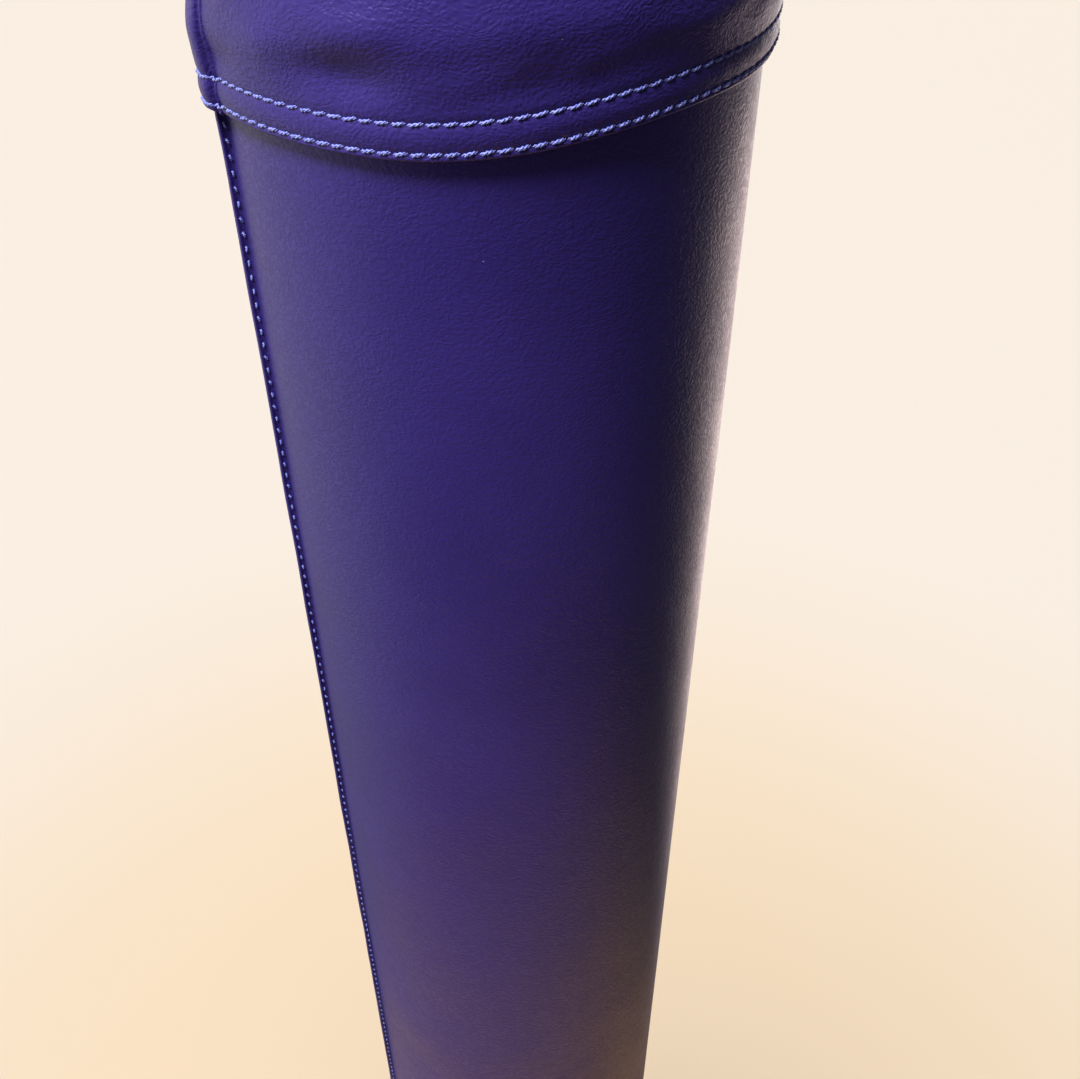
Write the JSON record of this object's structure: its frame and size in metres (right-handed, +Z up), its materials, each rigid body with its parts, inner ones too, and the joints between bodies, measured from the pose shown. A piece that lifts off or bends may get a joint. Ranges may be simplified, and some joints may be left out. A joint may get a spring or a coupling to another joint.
{
  "type": "telescope carry case",
  "caption": "Upright cylindrical leatherette carry case for a telescope tube, with a side seam, a soft slip-on cap with a double-stitched hem, and a swinging handle on the back.",
  "frame": {"origin": "centre of the base on the floor, on the axis of the tube", "axes": "+Z up along the tube, front towards -Y, handle towards +Y, side seam near -X"},
  "size_m": [0.1567, 0.2088, 1.042],
  "materials": {
    "navy_leatherette": "satin",
    "fibreboard": "matte",
    "grey_felt": "matte",
    "foam": "matte",
    "blue_thread": "satin",
    "nickel_steel": "satin"
  },
  "bodies": {
    "case": {"body_skin": "navy_leatherette", "mouth_facing": "navy_leatherette", "base_cover": "navy_leatherette", "base_piping": "navy_leatherette", "handle_patch": "navy_leatherette", "body_board": "fibreboard", "base_board": "fibreboard", "body_lining": "grey_felt", "base_lining": "grey_felt", "base_pad": "foam", "side_seam_thread": "blue_thread", "patch_thread": "blue_thread", "lower_bracket": "nickel_steel", "upper_bracket": "nickel_steel", "rivets": "nickel_steel", "rivet_burrs": "nickel_steel"},
    "cap": {"cap_skin": "navy_leatherette", "cap_padding": "foam", "cap_lining": "grey_felt", "crown_panel": "navy_leatherette", "crown_wadding": "foam", "crown_board": "fibreboard", "crown_lining": "grey_felt", "lower_hem_thread": "blue_thread", "upper_hem_thread": "blue_thread", "crown_thread": "blue_thread"},
    "handle": {"handle_rod": "nickel_steel", "grip_padding": "foam", "grip_cover": "navy_leatherette", "grip_thread": "blue_thread"}
  },
  "joints": [
    {"name": "cap_lift", "type": "slide", "parent": "case", "child": "cap", "axis": [0, 0, 1], "range_m": [0, 0.3]},
    {"name": "handle_swing", "type": "hinge", "parent": "case", "child": "handle", "pos_m": [0, 0.0835, 0.505], "axis": [0, 0, 1], "range_deg": [-90, 90]}
  ]
}
